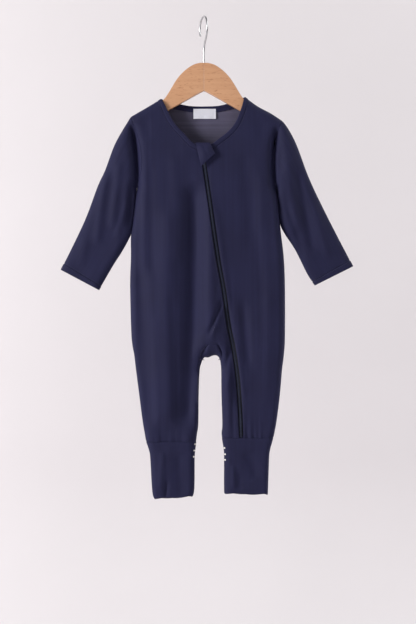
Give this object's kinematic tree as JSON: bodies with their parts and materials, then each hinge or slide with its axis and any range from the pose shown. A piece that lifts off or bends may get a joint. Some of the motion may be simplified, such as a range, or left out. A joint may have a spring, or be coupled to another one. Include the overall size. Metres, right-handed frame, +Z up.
{
  "type": "onesie pajama on a hanger",
  "caption": "Long-sleeved footless baby sleepsuit with a slanted full-length zip and fold-over ankle cuffs, hanging flat from a small wooden hanger.",
  "frame": {"origin": "seat of the wire hook: the inner top of its bend, where it rests on a rail", "axes": "+Z up; -Y is the garment's front; +X is to the viewer's right, the wearer's left"},
  "size_m": [0.4674, 0.0435, 0.773],
  "materials": {
    "jersey": "smooth fine jersey with a faint sheen",
    "zip_tape": "woven tape",
    "zip_coil": "nylon coil",
    "slider": "satin enamel",
    "label": "woven satin",
    "hook_steel": "bright wire",
    "beech": "satin lacquer"
  },
  "bodies": {
    "garment": {"front_right": "jersey", "front_left": "jersey", "back": "jersey", "crotch_gusset": "jersey", "sleeve_right": "jersey", "sleeve_left": "jersey", "neck_binding": "jersey", "cuff_right": "jersey", "cuff_left": "jersey", "zip_guard": "jersey", "zip_tape_right": "zip_tape", "zip_tape_left": "zip_tape", "zip_coil": "zip_coil", "zip_slider": "slider", "neck_label": "label", "hanger_arm_right": "beech", "hanger_arm_left": "beech", "hanger_hook": "hook_steel"},
    "pull": {"zip_pull": "slider"}
  },
  "joints": [
    {"name": "pull_swing", "type": "hinge", "parent": "garment", "child": "pull", "pos_m": [-0.003, -0.0166, -0.2149], "axis": [-0.9867, -0.0071, -0.1624], "range_deg": [0, 8]}
  ]
}
